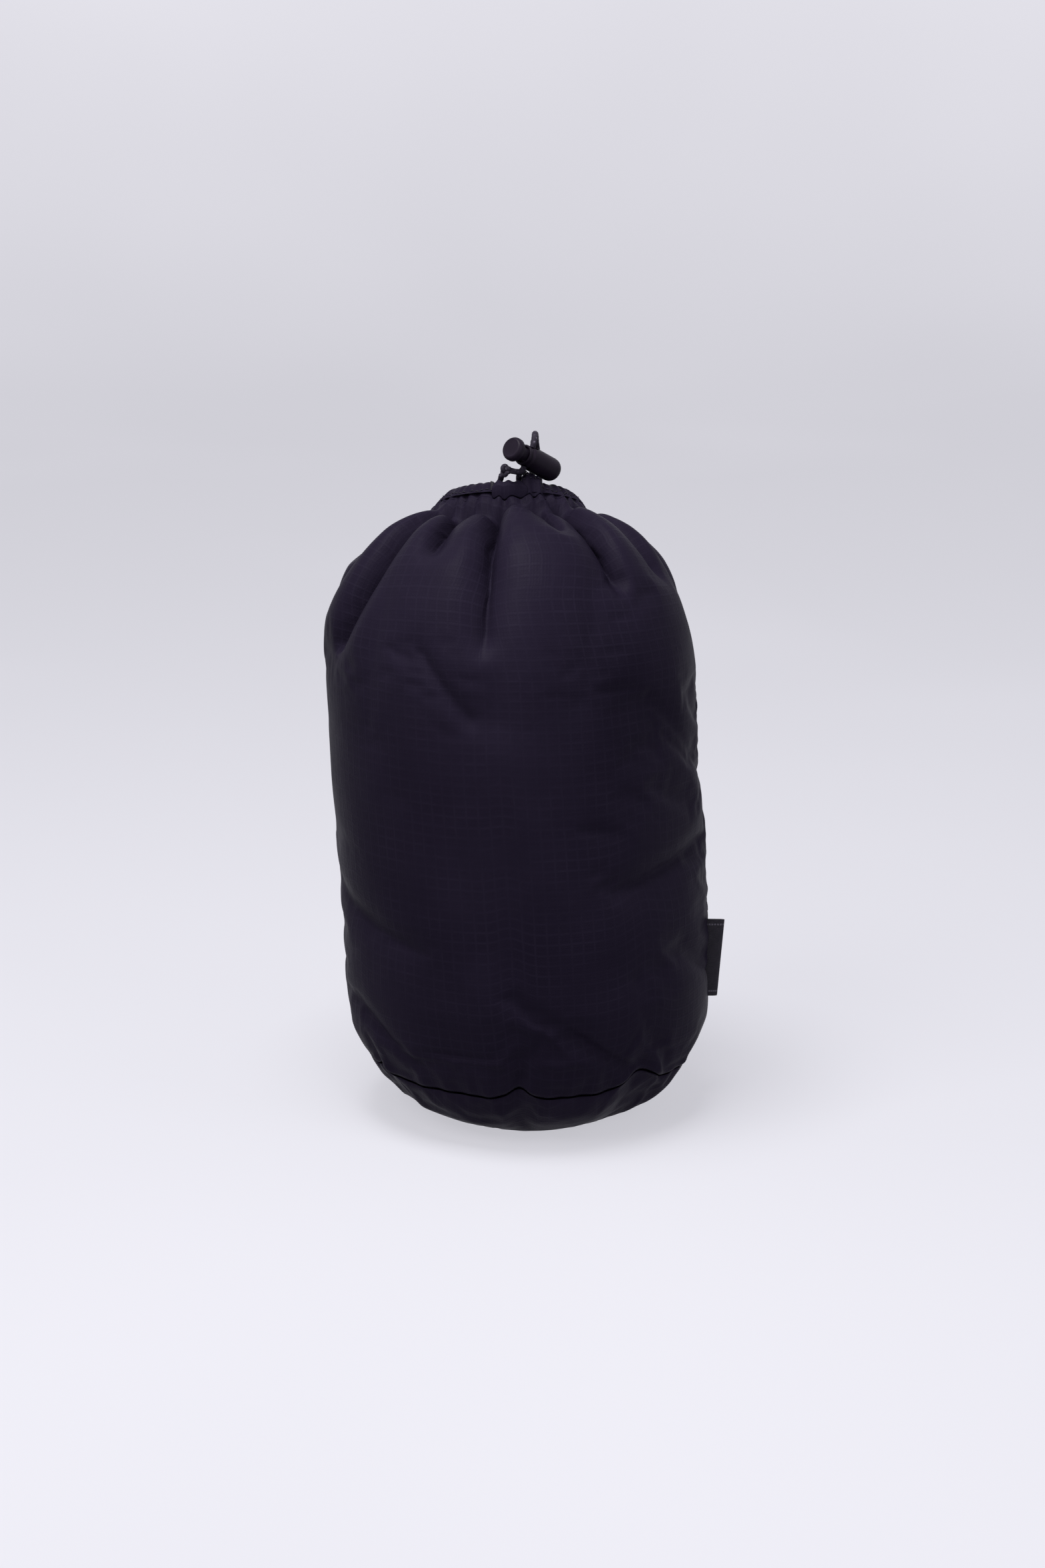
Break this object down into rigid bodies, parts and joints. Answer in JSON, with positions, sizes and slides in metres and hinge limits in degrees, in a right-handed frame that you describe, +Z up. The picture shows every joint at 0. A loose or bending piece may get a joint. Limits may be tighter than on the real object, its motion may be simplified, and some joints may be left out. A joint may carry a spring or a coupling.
{
  "type": "drawcord stuff sack",
  "caption": "Round-bottomed ripstop stuff sack with a gathered drawcord mouth, a barrel cord lock and a folded side label.",
  "frame": {"origin": "on the floor under the middle of the filled sack, at the centre of its flat resting disc", "axes": "+Z up along the sack, -Y towards the front where the drawcord comes out, +X towards the side seam and its label"},
  "size_m": [0.1753, 0.1648, 0.3023],
  "materials": {
    "shell_fabric": "satin",
    "inner_seams": "matte",
    "thread": "satin",
    "cord": "matte",
    "lock_plastic": "satin",
    "plunger_plastic": "satin",
    "spring_steel": "satin",
    "label_ribbon": "matte"
  },
  "bodies": {
    "sack": {"body_panel": "shell_fabric", "base_panel": "shell_fabric", "base_seam_allowance": "inner_seams", "side_seam_allowance": "inner_seams", "mouth_hem": "shell_fabric", "hem_stitching": "thread", "tunnel_bartack_left": "thread", "tunnel_bartack_right": "thread", "drawcord_in_hem": "cord", "drawcord_strand_left": "cord", "drawcord_strand_right": "cord", "drawcord_knot": "cord", "drawcord_knot_to_lock": "cord"},
    "cord_lock": {"cord_lock_barrel": "lock_plastic", "cord_lock_spring": "spring_steel", "drawcord_tail": "cord"},
    "plunger": {"cord_lock_plunger": "plunger_plastic"},
    "label": {"side_label": "label_ribbon"}
  },
  "joints": [
    {"name": "lock_slide", "type": "slide", "parent": "sack", "child": "cord_lock", "axis": [0.3938, 0.215, 0.8937], "range_m": [0, 0.02], "deforming": ["drawcord_strand_left", "drawcord_strand_right", "drawcord_knot_to_lock", "drawcord_tail"]},
    {"name": "plunger_press", "type": "slide", "parent": "cord_lock", "child": "plunger", "axis": [0.6052, 0.6712, -0.4281], "range_m": [0, 0.0036], "stiffness_N_per_m": 600, "springref_m": -0.003, "deforming": ["cord_lock_spring"]},
    {"name": "label_flex", "type": "hinge", "parent": "sack", "child": "label", "pos_m": [0.0817, 0, 0.067], "axis": [0, 0, 1], "range_deg": [-50, 50], "stiffness_Nm_per_rad": 0.002}
  ]
}
